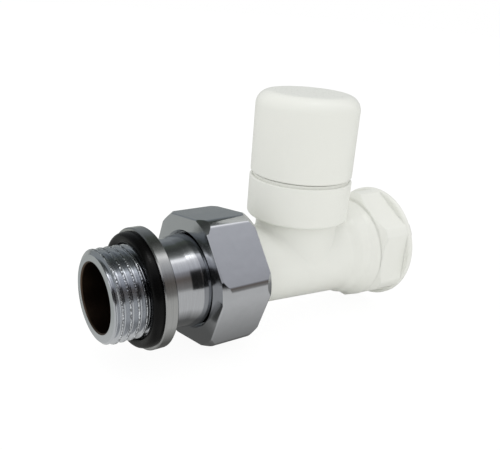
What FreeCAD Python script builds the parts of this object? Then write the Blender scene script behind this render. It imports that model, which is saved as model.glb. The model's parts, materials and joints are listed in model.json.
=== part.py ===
import FreeCAD, Part
import math
import os

# Straight manual radiator valve. Millimetres. The flow axis is X, from the radiator to the pipe.
# The origin is at the inner end of the radiator thread. +Z runs up the spindle.

FLOW = FreeCAD.Vector(1, 0, 0)
UP = FreeCAD.Vector(0, 0, 1)

# Clearances
running_clearance = 0.08
sliding_clearance = 0.10
seating_clearance = 0.05
ring_clearance = 0.03

# Half inch pipe thread, the same at both ends
pipe_thread_r = 10.478
pipe_thread_depth = 1.162

# Radiator end of the tailpiece
radiator_thread_length = 8.95
thread_chamfer = 0.75
thread_relief = 0.25
thread_runout = 0.15
tail_bore_r = 7.72
tail_bore_depth = 13.6
key_af = 12.0
key_depth = 9.0
tail_rear_bore_r = 6.95

# Seal between the carrier ring and the radiator
seal_section_r = 1.4
seal_proud = 0.55
carrier_web = 0.7
carrier_lip = 0.7
carrier_edge = 0.25
carrier_shoulder = 0.32

# Neck of the tailpiece and the union
neck_length = 9.55
nut_play = 0.35
nut_lip = 2.6
nut_length = 13.1
nut_wall = 1.98
nut_corner_round = 3.2
nut_chamfer_in = 1.9
nut_chamfer_angle = 60.0
nut_turn = 39.0
nut_mouth = 0.6
nut_overhang = 0.95
head_bearing = 0.85
head_length = 2.4
union_thread_room = 0.74
spigot_chamfer = 0.8
nose_length = 3.6
nose_inset = 2.4
nose_chamfer = 0.6
union_seal_section_r = 0.75
union_seal_offset = 1.8

# Body, outside
outlet_reach = 26.65
inlet_reach = 29.4
barrel_taper = 3.2
spigot_fall = 1.4
neck_inset = 0.14
neck_blend = 1.2
crease_samples = 7
neck_flange_rise = 1.3
neck_flange_step = 0.8
inlet_wall = 4.18
hexagon_length = 8.7
hexagon_shoulder = 0.9
hexagon_corner_rise = 1.4
hexagon_edge = 0.5
bulge_length = 5.2
bulge_fall = 0.6
bulge_rise = 2.2
bulge_round = 2.5
rim_rise = 1.6
rim_width = 1.6
rim_round = 0.6

# Body, inside
inlet_thread_length = 12.4
inlet_mouth = 0.7
duct_r = 6.5
outlet_link_r = 3.9
outlet_link_sill = 0.3
outlet_link_overlap = 3.0
inlet_link_r = 3.7
inlet_link_overlap = 5.0
partition = 1.5
seat_port_r = 4.8
seat_lip = 1.0
seat_lip_height = 0.8
chamber_r = 7.6

# Bonnet
bonnet_thread_r = 8.4
bonnet_seal_section_r = 0.8
neck_wall = 0.9
neck_top_z = 13.5
bonnet_hexagon_height = 6.7
bonnet_hexagon_chamfer = 0.5
gland_r = 6.8
gland_length = 9.6
gland_chamfer = 0.5

# Spindle
spindle_r = 3.5
spindle_flange_r = 5.0
spindle_flange_length = 1.3
thrust_washer_thickness = 0.4
spindle_seal_section_r = 0.6
spindle_seal_inset = 2.1
spindle_seal_spacing = 3.2
clip_lift = 0.15
clip_thickness = 0.8
clip_width = 1.75
clip_groove_depth = 0.7
clip_gap = 3.0
spline_count = 12
spline_depth = 0.5
spline_flank = 0.15
spline_lift = 0.6

# Plunger and seat disc
lift = 3.0
headroom = 0.3
disc_thickness = 2.2
disc_overlap = 0.7
holder_thickness = 1.6
holder_rim = 0.35
holder_rim_depth = 1.2
plunger_af = 11.2
plunger_stem_length = 8.7
plunger_floor = 0.6
screw_shank_r = 1.5
screw_head_r = 2.8
screw_head_height = 1.6
screw_slot_width = 0.7
screw_slot_depth = 0.7

# Collar
collar_wall = 1.59
collar_overlap = 1.6
collar_deck = 1.4
collar_top_chamfer = 0.3
collar_foot_round = 0.7

# Handwheel
wheel_inset = 0.15
wheel_height = 19.3
wheel_gap = 0.9
wheel_wall = 1.9
wheel_top = 2.3
wheel_top_round = 3.4
wheel_foot_chamfer = 0.3
hub_wall = 2.3
hub_slot_count = 4
hub_slot_width = 1.0
hub_slot_length = 6.0
hub_ring_groove = 0.5
hub_ring_width = 2.0
hub_ring_lift = 1.2
hub_ring_thickness = 0.85
rib_count = 6
rib_width = 1.2
rib_height = 3.6

# Stations along the flow axis
tail_front_x = -radiator_thread_length
carrier_front_x = thread_runout + seal_proud
recess_x = thread_runout + 2 * seal_section_r + ring_clearance
carrier_back_x = recess_x + carrier_web
nut_front_x = carrier_back_x + neck_length
nut_shoulder_x = nut_front_x + nut_lip
nut_back_x = nut_front_x + nut_length
head_front_x = nut_shoulder_x + seating_clearance
head_back_x = head_front_x + head_length
nose_end_x = head_back_x + nose_length
spigot_back_x = nut_back_x - nut_overhang
stem_x = head_back_x + outlet_reach
rim_x = stem_x + inlet_reach
rim_back_x = rim_x - rim_width
hexagon_x = rim_back_x - hexagon_length
bulge_x = hexagon_x - bulge_length
barrel_end_x = bulge_x - bulge_rise
inlet_floor_x = rim_x - inlet_thread_length - inlet_mouth

# Radii about the flow axis
relief_r = pipe_thread_r - thread_relief
seal_ring_r = relief_r + ring_clearance + seal_section_r
recess_r = seal_ring_r + seal_section_r + ring_clearance
carrier_r = recess_r + carrier_lip
carrier_bore_r = pipe_thread_r + ring_clearance
tail_neck_r = pipe_thread_r + carrier_shoulder
nut_hole_r = tail_neck_r + nut_play
head_r = nut_hole_r + head_bearing
union_thread_r = head_r + union_thread_room
nut_thread_r = union_thread_r + running_clearance
nut_af = 2 * (nut_thread_r + nut_wall)
nose_r = head_r - nose_inset
socket_r = nose_r + seating_clearance
union_seal_groove_r = socket_r - 2 * union_seal_section_r - 2 * ring_clearance
inlet_thread_r = pipe_thread_r - pipe_thread_depth
hexagon_apothem = inlet_thread_r + inlet_wall
rim_r = hexagon_apothem + rim_rise
bulge_top_r = hexagon_apothem - hexagon_shoulder
bulge_start_r = bulge_top_r - bulge_fall

# Radii about the spindle axis
bonnet_groove_r = bonnet_thread_r - bonnet_seal_section_r
bonnet_seal_seat_r = bonnet_groove_r + 2 * bonnet_seal_section_r + 2 * ring_clearance
neck_r = bonnet_seal_seat_r + neck_wall
neck_flange_r = neck_r + neck_flange_step
collar_bore_r = neck_flange_r + seating_clearance
collar_r = collar_bore_r + collar_wall
wheel_r = collar_r - wheel_inset
bonnet_corner_r = collar_bore_r - seating_clearance
guide_af = plunger_af + 2 * sliding_clearance
disc_r = seat_port_r + seat_lip + disc_overlap
holder_r = disc_r + holder_rim
spindle_bore_r = spindle_r + running_clearance
spindle_groove_r = spindle_r - 2 * spindle_seal_section_r
spindle_seal_ring_r = spindle_groove_r + ring_clearance + spindle_seal_section_r
hub_r = spindle_r + hub_wall

# Heights along the spindle axis
chamber_floor_z = 0.0
seat_z = chamber_floor_z + seat_lip_height
disc_z = seat_z + seating_clearance
holder_z = disc_z + disc_thickness
plunger_stem_z = holder_z + holder_thickness
plunger_top_z = plunger_stem_z + plunger_stem_length
plunger_floor_z = plunger_stem_z + plunger_floor
bonnet_foot_z = plunger_stem_z + lift + headroom
guide_top_z = plunger_top_z + lift + headroom
spindle_foot_z = plunger_floor_z + lift + headroom
spindle_flange_z = guide_top_z + seating_clearance
spindle_flange_top_z = spindle_flange_z + spindle_flange_length
gland_foot_z = spindle_flange_top_z + thrust_washer_thickness
gland_top_z = gland_foot_z + gland_length
bonnet_groove_z = neck_top_z - 2 * bonnet_seal_section_r - 2 * ring_clearance
bonnet_hexagon_top_z = neck_top_z + bonnet_hexagon_height
collar_foot_z = neck_top_z - collar_overlap
collar_top_z = bonnet_hexagon_top_z + collar_deck
wheel_foot_z = collar_top_z + wheel_gap
wheel_top_z = wheel_foot_z + wheel_height
wheel_ceiling_z = wheel_top_z - wheel_top
clip_z = gland_top_z + clip_lift
clip_top_z = clip_z + clip_thickness
spline_z = clip_top_z + spline_lift
hub_z = spline_z + seating_clearance
spindle_top_z = wheel_ceiling_z - headroom
lower_seal_z = gland_foot_z + spindle_seal_inset
upper_seal_z = lower_seal_z + spindle_seal_spacing


def barrel_r(x):
    """Radius of the tapered barrel, a little over the neck's radius at the spindle."""
    return neck_r + neck_inset + (x - stem_x) * math.tan(math.radians(barrel_taper))


def outline(corners):
    """Closed face in the XZ plane through corners (u, v) or (u, v, round)."""
    points = [FreeCAD.Vector(corner[0], 0, corner[1]) for corner in corners]
    rounds = [corner[2] if len(corner) > 2 else 0.0 for corner in corners]
    entries = []
    exits = []
    middles = []
    for index, point in enumerate(points):
        before = (points[index - 1] - point).normalize()
        after = (points[(index + 1) % len(points)] - point).normalize()
        half = before.getAngle(after) / 2
        reach = rounds[index] / math.tan(half)
        depth = rounds[index] / math.sin(half) - rounds[index]
        entries.append(point + before * reach)
        exits.append(point + after * reach)
        middles.append(point + (before + after).normalize() * depth if rounds[index] else point)
    edges = []
    for index in range(len(points)):
        following = (index + 1) % len(points)
        if rounds[index]:
            edges.append(Part.Arc(entries[index], middles[index], exits[index]).toShape())
        edges.append(Part.LineSegment(exits[index], entries[following]).toShape())
    return Part.Face(Part.Wire(edges))


def turned_on_flow(corners):
    """Solid turned about the flow axis from corners (x, radius) or (x, radius, round)."""
    return outline(corners).revolve(FreeCAD.Vector(), FLOW, 360)


def turned_on_spindle(corners):
    """Solid turned about the spindle axis from corners (radius, z) or (radius, z, round)."""
    solid = outline(corners).revolve(FreeCAD.Vector(), UP, 360)
    solid.translate(FreeCAD.Vector(stem_x, 0, 0))
    return solid


def rod_on_flow(radius, start, end, height=0.0):
    """Round bar along the flow axis."""
    return Part.makeCylinder(radius, end - start, FreeCAD.Vector(start, 0, height), FLOW)


def rod_on_spindle(radius, start, end):
    """Round bar along the spindle axis."""
    return Part.makeCylinder(radius, end - start, FreeCAD.Vector(stem_x, 0, start), UP)


def hexagon_on_flow(across_flats, start, end, turn=0.0):
    """Hexagonal bar along the flow axis, with a flat facing -Y turned up by turn degrees."""
    corner_r = across_flats / 2 / math.cos(math.pi / 6)
    corners = []
    for index in range(7):
        angle = math.radians(turn + 30 + 60 * index)
        corners.append(FreeCAD.Vector(start, -corner_r * math.cos(angle), corner_r * math.sin(angle)))
    return Part.Face(Part.makePolygon(corners)).extrude(FLOW * (end - start))


def hexagon_on_spindle(across_flats, start, end):
    """Hexagonal bar along the spindle axis."""
    corner_r = across_flats / 2 / math.cos(math.pi / 6)
    corners = []
    for index in range(7):
        angle = math.radians(60 * index)
        corners.append(FreeCAD.Vector(stem_x + corner_r * math.cos(angle), corner_r * math.sin(angle), start))
    return Part.Face(Part.makePolygon(corners)).extrude(UP * (end - start))


def splined_on_spindle(tip_r, root_r, start, end):
    """Splined bar along the spindle axis, its teeth as wide as the gaps between them."""
    corners = []
    for index in range(spline_count):
        root = ((0, root_r), (0.5 - spline_flank, root_r))
        tip = ((0.5, tip_r), (1 - spline_flank, tip_r))
        for share, radius in root + tip:
            angle = 2 * math.pi * (index + share) / spline_count
            corners.append(FreeCAD.Vector(stem_x + radius * math.cos(angle), radius * math.sin(angle), start))
    corners.append(corners[0])
    return Part.Face(Part.makePolygon(corners)).extrude(UP * (end - start))


def spoke(width, inner_r, outer_r, start, end, angle):
    """Radial bar about the spindle axis between two radii and two heights."""
    corner = FreeCAD.Vector(stem_x + inner_r, -width / 2, start)
    bar = Part.makeBox(outer_r - inner_r, width, end - start, corner)
    bar.rotate(FreeCAD.Vector(stem_x, 0, 0), UP, angle)
    return bar


def chamfered_corners(hexagon, corner_r, start, end):
    """Hexagonal bar along the flow axis with its corners turned down at both ends."""
    rise = nut_chamfer_in * math.tan(math.radians(nut_chamfer_angle))
    small_r = corner_r - nut_chamfer_in
    turned = turned_on_flow([(start, 0), (start, small_r), (start + rise, corner_r),
                             (end - rise, corner_r), (end, small_r), (end, 0)])
    return hexagon.common(turned)


def make_tailpiece():
    """Threaded tail with a key hexagon in its bore, and a head and sealing nose for the union."""
    groove_start = head_back_x + union_seal_offset - union_seal_section_r - ring_clearance
    groove_end = head_back_x + union_seal_offset + union_seal_section_r + ring_clearance
    rear_x = tail_front_x + tail_bore_depth + key_depth
    tail = turned_on_flow([
        (tail_front_x, tail_bore_r), (tail_front_x, pipe_thread_r - thread_chamfer),
        (tail_front_x + thread_chamfer, pipe_thread_r), (0, pipe_thread_r), (0, relief_r),
        (recess_x, relief_r), (recess_x, pipe_thread_r), (carrier_back_x, pipe_thread_r),
        (carrier_back_x, tail_neck_r), (head_front_x, tail_neck_r),
        (head_front_x, head_r), (head_back_x, head_r), (head_back_x, nose_r),
        (groove_start, nose_r), (groove_start, union_seal_groove_r),
        (groove_end, union_seal_groove_r), (groove_end, nose_r), (nose_end_x - nose_chamfer, nose_r),
        (nose_end_x, nose_r - nose_chamfer), (nose_end_x, tail_rear_bore_r), (rear_x, tail_rear_bore_r),
        (rear_x, key_af / 4), (tail_front_x + tail_bore_depth, key_af / 4),
        (tail_front_x + tail_bore_depth, tail_bore_r)])
    key = hexagon_on_flow(key_af, tail_front_x, nose_end_x)
    return tail.cut(key)


def make_seal_carrier():
    """Ring that backs the radiator seal, recessed at the front, seated on the neck's shoulder."""
    return turned_on_flow([
        (carrier_front_x, recess_r), (carrier_front_x, carrier_r - carrier_edge),
        (carrier_front_x + carrier_edge, carrier_r), (carrier_back_x - carrier_edge, carrier_r),
        (carrier_back_x, carrier_r - carrier_edge), (carrier_back_x, carrier_bore_r),
        (recess_x, carrier_bore_r), (recess_x, recess_r)])


def make_radiator_o_ring():
    """Seal that stands a little proud of the carrier."""
    centre = FreeCAD.Vector(thread_runout + seal_section_r, 0, 0)
    return Part.makeTorus(seal_ring_r, seal_section_r, centre, FLOW)


def make_union_nut():
    """Swivel nut: rounded hexagon, turned corners, lip that pulls the tailpiece's head."""
    corner_r = nut_af / 2 / math.cos(math.pi / 6)
    bar = hexagon_on_flow(nut_af, nut_front_x, nut_back_x, nut_turn)
    long_edges = [edge for edge in bar.Edges if abs(edge.Length - nut_length) < ring_clearance
                  and abs(edge.BoundBox.XLength - nut_length) < ring_clearance]
    nut = chamfered_corners(bar.makeFillet(nut_corner_round, long_edges), corner_r, nut_front_x, nut_back_x)
    nut = nut.cut(rod_on_flow(nut_hole_r, nut_front_x, nut_back_x))
    thread = turned_on_flow([
        (nut_shoulder_x, 0), (nut_shoulder_x, nut_thread_r), (nut_back_x - nut_mouth, nut_thread_r),
        (nut_back_x, nut_thread_r + nut_mouth), (nut_back_x, 0)])
    return nut.cut(thread)


def make_union_o_ring():
    """Seal in the groove of the tailpiece's nose."""
    ring_r = union_seal_groove_r + ring_clearance + union_seal_section_r
    centre = FreeCAD.Vector(head_back_x + union_seal_offset, 0, 0)
    return Part.makeTorus(ring_r, union_seal_section_r, centre, FLOW)


def make_barrel():
    """Spigot for the nut, tapered barrel and the bulge before the hexagon, turned as one."""
    taper_x = spigot_back_x + spigot_fall
    return turned_on_flow([
        (head_back_x, 0), (head_back_x, union_thread_r - spigot_chamfer),
        (head_back_x + spigot_chamfer, union_thread_r), (spigot_back_x, union_thread_r),
        (taper_x, barrel_r(taper_x)), (barrel_end_x, barrel_r(barrel_end_x), bulge_round),
        (bulge_x, bulge_start_r, bulge_round), (hexagon_x, bulge_top_r), (rim_back_x, bulge_top_r),
        (rim_back_x, 0)])


def make_inlet_hexagon():
    """Spanner hexagon with turned corners, run into the round rim of the inlet."""
    corner_r = hexagon_apothem + hexagon_corner_rise
    bar = hexagon_on_flow(2 * hexagon_apothem, hexagon_x, rim_x)
    turned = turned_on_flow([
        (hexagon_x, 0), (hexagon_x, corner_r, hexagon_edge), (rim_x, corner_r), (rim_x, 0)])
    rim = turned_on_flow([
        (rim_back_x, 0), (rim_back_x, rim_r, rim_round), (rim_x, rim_r, rim_round), (rim_x, 0)])
    return bar.common(turned).fuse(rim)


def make_body_outside():
    """Barrel with the upright neck blended into it, the bonnet's flange and the inlet."""
    flange_z = neck_top_z - neck_flange_rise
    joined = make_barrel().fuse(rod_on_spindle(neck_r, chamber_floor_z, neck_top_z))
    crease = []
    for edge in joined.Edges:
        on_neck = [abs(math.hypot(point.x - stem_x, point.y) - neck_r) < ring_clearance
                   for point in edge.discretize(crease_samples)]
        if all(on_neck) and edge.BoundBox.ZLength > neck_inset:
            crease.append(edge)
    blended = joined.makeFillet(neck_blend, crease)
    flange = rod_on_spindle(neck_flange_r, flange_z, neck_top_z)
    return blended.fuse([flange, make_inlet_hexagon()]).removeSplitter()


def make_water_way():
    """Space inside the body: outlet above the partition, seat port, inlet below it."""
    outlet_link_z = chamber_floor_z + outlet_link_sill + outlet_link_r
    inlet_link_z = chamber_floor_z - partition - inlet_link_r
    duct_end_x = stem_x - chamber_r - outlet_link_overlap
    duct_start_x = stem_x + chamber_r + inlet_link_overlap
    socket_end_x = nose_end_x + seating_clearance
    inlet = turned_on_flow([
        (inlet_floor_x, 0), (inlet_floor_x, inlet_thread_r), (rim_x - inlet_mouth, inlet_thread_r),
        (rim_x, inlet_thread_r + inlet_mouth), (rim_x, 0)])
    chamber = turned_on_spindle([
        (seat_port_r, chamber_floor_z - partition - inlet_link_r), (seat_port_r, seat_z),
        (seat_port_r + seat_lip, seat_z), (seat_port_r + seat_lip, chamber_floor_z),
        (chamber_r, chamber_floor_z), (chamber_r, bonnet_foot_z),
        (bonnet_thread_r + seating_clearance, bonnet_foot_z),
        (bonnet_thread_r + seating_clearance, bonnet_groove_z),
        (bonnet_seal_seat_r, bonnet_groove_z), (bonnet_seal_seat_r, neck_top_z),
        (0, neck_top_z), (0, chamber_floor_z - partition - inlet_link_r)])
    return [
        rod_on_flow(socket_r, head_back_x, socket_end_x),
        rod_on_flow(duct_r, socket_end_x, duct_end_x),
        rod_on_flow(outlet_link_r, duct_end_x - outlet_link_overlap, stem_x - seat_port_r - seat_lip,
                    outlet_link_z),
        chamber,
        rod_on_flow(inlet_link_r, stem_x, duct_start_x + inlet_link_overlap, inlet_link_z),
        rod_on_flow(duct_r, duct_start_x, inlet_floor_x),
        inlet]


def make_valve_body():
    """Forged body with its S-shaped water way."""
    return make_body_outside().cut(make_water_way())


def make_bonnet():
    """Headwork: thread, hexagon, hexagonal guide for the plunger and a gland for the spindle."""
    blank = turned_on_spindle([
        (0, bonnet_foot_z), (bonnet_thread_r, bonnet_foot_z), (bonnet_thread_r, bonnet_groove_z),
        (bonnet_groove_r, bonnet_groove_z), (bonnet_groove_r, neck_top_z),
        (gland_r, neck_top_z), (gland_r, gland_top_z - gland_chamfer),
        (gland_r - gland_chamfer, gland_top_z), (0, gland_top_z)])
    turned = turned_on_spindle([
        (0, neck_top_z), (bonnet_corner_r, neck_top_z),
        (bonnet_corner_r, bonnet_hexagon_top_z - bonnet_hexagon_chamfer),
        (bonnet_corner_r - bonnet_hexagon_chamfer, bonnet_hexagon_top_z), (0, bonnet_hexagon_top_z)])
    across_flats = 2 * bonnet_corner_r * math.cos(math.pi / 6)
    hexagon = hexagon_on_spindle(across_flats, neck_top_z, bonnet_hexagon_top_z).common(turned)
    return blank.fuse(hexagon).cut([
        hexagon_on_spindle(guide_af, bonnet_foot_z, guide_top_z),
        rod_on_spindle(spindle_flange_r + sliding_clearance, guide_top_z, gland_foot_z),
        rod_on_spindle(spindle_bore_r, gland_foot_z, gland_top_z)])


def make_bonnet_o_ring():
    """Seal under the bonnet's hexagon."""
    ring_r = bonnet_groove_r + ring_clearance + bonnet_seal_section_r
    centre = FreeCAD.Vector(stem_x, 0, bonnet_groove_z + ring_clearance + bonnet_seal_section_r)
    return Part.makeTorus(ring_r, bonnet_seal_section_r, centre, UP)


def make_spindle():
    """Spindle: lifting screw, thrust flange, seal grooves, clip groove and splined end."""
    reach = spindle_seal_section_r + ring_clearance
    shaft = turned_on_spindle([
        (0, spindle_foot_z), (spindle_r, spindle_foot_z), (spindle_r, spindle_flange_z),
        (spindle_flange_r, spindle_flange_z), (spindle_flange_r, spindle_flange_top_z),
        (spindle_r, spindle_flange_top_z),
        (spindle_r, lower_seal_z - reach), (spindle_groove_r, lower_seal_z - reach),
        (spindle_groove_r, lower_seal_z + reach), (spindle_r, lower_seal_z + reach),
        (spindle_r, upper_seal_z - reach), (spindle_groove_r, upper_seal_z - reach),
        (spindle_groove_r, upper_seal_z + reach), (spindle_r, upper_seal_z + reach),
        (spindle_r, clip_z - ring_clearance), (spindle_r - clip_groove_depth, clip_z - ring_clearance),
        (spindle_r - clip_groove_depth, clip_top_z + ring_clearance),
        (spindle_r, clip_top_z + ring_clearance), (spindle_r, spline_z), (0, spline_z)])
    return shaft.fuse(splined_on_spindle(spindle_r, spindle_r - spline_depth, spline_z, spindle_top_z))


def make_spindle_o_ring(height):
    """Seal in one of the spindle's grooves."""
    return Part.makeTorus(spindle_seal_ring_r, spindle_seal_section_r, FreeCAD.Vector(stem_x, 0, height), UP)


def make_thrust_washer():
    """Plain washer between the spindle's flange and the gland."""
    inner = rod_on_spindle(spindle_bore_r, spindle_flange_top_z, gland_foot_z)
    return rod_on_spindle(spindle_flange_r, spindle_flange_top_z, gland_foot_z).cut(inner)


def make_spindle_clip():
    """Open clip that keeps the spindle up in the bonnet."""
    inner_r = spindle_r - clip_groove_depth + ring_clearance
    outer_r = inner_r + clip_width
    ring = rod_on_spindle(outer_r, clip_z, clip_top_z).cut(rod_on_spindle(inner_r, clip_z, clip_top_z))
    return ring.cut(spoke(clip_gap, 0, 2 * outer_r, clip_z, clip_top_z, 0))


def make_plunger():
    """Hexagonal plunger: a cup for the disc below, the lifting thread above."""
    cup = turned_on_spindle([
        (0, holder_z), (disc_r + ring_clearance, holder_z),
        (disc_r + ring_clearance, holder_z - holder_rim_depth), (holder_r, holder_z - holder_rim_depth),
        (holder_r, plunger_stem_z), (0, plunger_stem_z)])
    stem = hexagon_on_spindle(plunger_af, plunger_stem_z, plunger_top_z)
    return cup.fuse(stem).cut([
        rod_on_spindle(spindle_bore_r, plunger_floor_z, plunger_top_z),
        rod_on_spindle(screw_shank_r + ring_clearance, holder_z, plunger_floor_z)])


def make_obturator_disc():
    """Soft disc that closes on the seat."""
    hole = rod_on_spindle(screw_shank_r + ring_clearance, disc_z, holder_z)
    return rod_on_spindle(disc_r, disc_z, holder_z).cut(hole)


def make_obturator_screw():
    """Slotted screw that holds the disc from below, inside the seat port."""
    head_z = disc_z - screw_head_height
    screw = turned_on_spindle([
        (0, head_z), (screw_head_r, head_z), (screw_head_r, disc_z), (screw_shank_r, disc_z),
        (screw_shank_r, plunger_floor_z), (0, plunger_floor_z)])
    slot = Part.makeBox(2 * screw_head_r, screw_slot_width, screw_slot_depth,
                        FreeCAD.Vector(stem_x - screw_head_r, -screw_slot_width / 2, head_z))
    return screw.cut(slot)


def make_collar():
    """Moulded cover over the bonnet's hexagon, seated on its top face."""
    return turned_on_spindle([
        (collar_bore_r, collar_foot_z), (collar_r, collar_foot_z, collar_foot_round),
        (collar_r, collar_top_z - collar_top_chamfer), (collar_r - collar_top_chamfer, collar_top_z),
        (gland_r + sliding_clearance, collar_top_z),
        (gland_r + sliding_clearance, bonnet_hexagon_top_z), (collar_bore_r, bonnet_hexagon_top_z)])


def make_handwheel():
    """Hollow cap with a slotted, splined hub hung from its top and ribs round the hub."""
    inner_r = wheel_r - wheel_wall
    groove_z = hub_z + hub_ring_lift
    inner_round = wheel_top_round - wheel_wall
    shell = turned_on_spindle([
        (inner_r, wheel_foot_z), (wheel_r - wheel_foot_chamfer, wheel_foot_z),
        (wheel_r, wheel_foot_z + wheel_foot_chamfer),
        (wheel_r, wheel_top_z, wheel_top_round), (0, wheel_top_z), (0, wheel_ceiling_z),
        (inner_r, wheel_ceiling_z, inner_round)])
    hub = turned_on_spindle([
        (0, hub_z), (hub_r, hub_z), (hub_r, groove_z), (hub_r - hub_ring_groove, groove_z),
        (hub_r - hub_ring_groove, groove_z + hub_ring_width + 2 * ring_clearance),
        (hub_r, groove_z + hub_ring_width + 2 * ring_clearance), (hub_r, wheel_ceiling_z),
        (0, wheel_ceiling_z)])
    rib_foot_z = wheel_ceiling_z - rib_height
    ribs = [spoke(rib_width, hub_r - hub_ring_groove, inner_r + wheel_wall / 2, rib_foot_z, wheel_ceiling_z,
                  360 * index / rib_count) for index in range(rib_count)]
    slots = [spoke(hub_slot_width, 0, 2 * hub_r, hub_z, min(hub_z + hub_slot_length, rib_foot_z),
                   360 * (index + 0.5) / hub_slot_count) for index in range(hub_slot_count)]
    clear_tip_r = spindle_r + seating_clearance
    hole = splined_on_spindle(clear_tip_r, clear_tip_r - spline_depth, hub_z, spindle_top_z + headroom / 2)
    return shell.fuse([hub] + ribs).cut(slots + [hole])


def make_hub_ring():
    """Spring ring that closes the slotted hub on the splines."""
    inner_r = hub_r - hub_ring_groove + ring_clearance
    foot_z = hub_z + hub_ring_lift + ring_clearance
    ring = rod_on_spindle(inner_r + hub_ring_thickness, foot_z, foot_z + hub_ring_width)
    ring = ring.cut(rod_on_spindle(inner_r, foot_z, foot_z + hub_ring_width))
    return ring.cut(spoke(clip_gap / 2, 0, 2 * hub_r, foot_z, foot_z + hub_ring_width, 90))


def make_parts():
    """Every node by name."""
    return {
        "valve_body": make_valve_body(),
        "tailpiece": make_tailpiece(),
        "seal_carrier": make_seal_carrier(),
        "radiator_o_ring": make_radiator_o_ring(),
        "union_nut": make_union_nut(),
        "union_o_ring": make_union_o_ring(),
        "bonnet": make_bonnet(),
        "bonnet_o_ring": make_bonnet_o_ring(),
        "spindle": make_spindle(),
        "lower_spindle_o_ring": make_spindle_o_ring(lower_seal_z),
        "upper_spindle_o_ring": make_spindle_o_ring(upper_seal_z),
        "thrust_washer": make_thrust_washer(),
        "spindle_clip": make_spindle_clip(),
        "plunger": make_plunger(),
        "obturator_disc": make_obturator_disc(),
        "obturator_screw": make_obturator_screw(),
        "collar": make_collar(),
        "handwheel": make_handwheel(),
        "hub_ring": make_hub_ring()}


def main():
    """Write one file for each node."""
    os.makedirs("parts", exist_ok=True)
    for name, shape in make_parts().items():
        shape.exportStep(os.path.join("parts", name + ".step"))


main()
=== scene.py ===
import json
import math

import bpy
from mathutils import Matrix, Vector

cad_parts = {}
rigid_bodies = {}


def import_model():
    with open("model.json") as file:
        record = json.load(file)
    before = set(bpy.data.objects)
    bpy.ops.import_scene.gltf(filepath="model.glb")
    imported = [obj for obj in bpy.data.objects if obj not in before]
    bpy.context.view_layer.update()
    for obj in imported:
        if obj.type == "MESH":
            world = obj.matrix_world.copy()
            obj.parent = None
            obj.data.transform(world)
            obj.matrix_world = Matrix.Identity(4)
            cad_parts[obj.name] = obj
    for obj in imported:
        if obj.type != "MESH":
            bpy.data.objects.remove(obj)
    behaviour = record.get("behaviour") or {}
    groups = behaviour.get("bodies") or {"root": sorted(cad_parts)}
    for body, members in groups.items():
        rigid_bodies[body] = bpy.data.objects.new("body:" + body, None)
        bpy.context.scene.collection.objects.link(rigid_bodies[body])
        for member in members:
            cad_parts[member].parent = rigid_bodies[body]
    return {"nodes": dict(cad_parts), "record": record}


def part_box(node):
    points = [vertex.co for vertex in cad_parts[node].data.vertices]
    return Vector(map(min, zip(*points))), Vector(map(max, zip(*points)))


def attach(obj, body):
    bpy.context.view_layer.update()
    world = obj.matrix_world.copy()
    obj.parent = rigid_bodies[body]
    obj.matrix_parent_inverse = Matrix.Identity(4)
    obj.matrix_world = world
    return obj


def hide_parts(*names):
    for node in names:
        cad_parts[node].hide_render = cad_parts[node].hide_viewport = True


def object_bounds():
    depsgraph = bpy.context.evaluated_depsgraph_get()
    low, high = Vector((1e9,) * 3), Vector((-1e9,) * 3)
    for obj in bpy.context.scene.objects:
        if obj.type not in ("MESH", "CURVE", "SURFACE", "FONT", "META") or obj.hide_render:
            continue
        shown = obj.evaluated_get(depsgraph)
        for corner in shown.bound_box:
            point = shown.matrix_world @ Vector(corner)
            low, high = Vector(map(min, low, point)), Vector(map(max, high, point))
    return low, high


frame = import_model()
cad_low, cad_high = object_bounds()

bl_info = {
    "name": "Manual radiator valve",
    "version": (1, 0, 0),
    "blender": (4, 5, 0),
    "location": "View3D > Sidebar > Valve",
    "description": "Dresses the valve's solids: threads, polished nut, finishes, stage and camera",
    "category": "Object",
}

IMAGE_WIDTH = 500
IMAGE_HEIGHT = 450
SENSOR_WIDTH_MM = 36.0
ORIGIN = Vector((0, 0, 0))
FLOW = Vector((1, 0, 0))
UP = Vector((0, 0, 1))

# Distances below which two points are one, and below which a face is a sliver
MERGE_DISTANCE = 1e-7
SLIVER = 1e-6

# Steps of round forms
TURNED_STEPS = 144
TRIM_STEPS = 48
NUT_STEPS = 180
THREAD_STEPS = 120
SHOULDER_STEPS = 8
SEAL_STEPS = 32
RIDGE_SEGMENTS = 10
EDGE_SEGMENTS = 3

# Half of the angle that a hexagon's flat spans
HALF_FLAT = math.pi / 6

# Angles past which an edge stays sharp
TAIL_CREASE = math.radians(32)
NUT_CREASE = math.radians(25)
BODY_CREASE = math.radians(20)
COLLAR_CREASE = math.radians(30)
SEAL_CREASE = math.radians(60)

# Pipe thread: its rounding as a share of the pitch, and where along each rounding its points lie
THREAD_ROUNDING = 0.1373
BOTTOM_SHARES = (0.0, 0.4, 0.8, 1.0)
TOP_SHARES = (1.0, 0.75, 0.45, 0.2)
INLET_TURNS = 7

# Depths under the thread's crest between which the torn metal begins
TORN_DEPTHS = (0.0003, 0.00008)

# Room between nut and neck, wall outside the inlet's thread, rise of the hexagon's corners, depth of its rim
NUT_PLAY = 0.00035
BODY_WALL = 0.0008
HEXAGON_CORNER = 0.00142
RIM_DEPTH = 0.0017

# Shares of the neck's flare that slope and that round each end of the slope
FLARE_SHARE = 0.6
KNEE_SHARE = 0.1

# Power that squares up the seal's round section
SEAL_SQUARENESS = 0.72

# Faces of a bore: the most that they point outwards, and their share of the thread's root radius
BORE_OUTWARD = -0.3
BORE_SHARE = 0.9

# Flow part of a normal past which a face is a flat end
FLAT_END = 0.999

# Scale of a turned metal's pattern round the axis, against its scale along it
RING_STRETCH = 0.03

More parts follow.
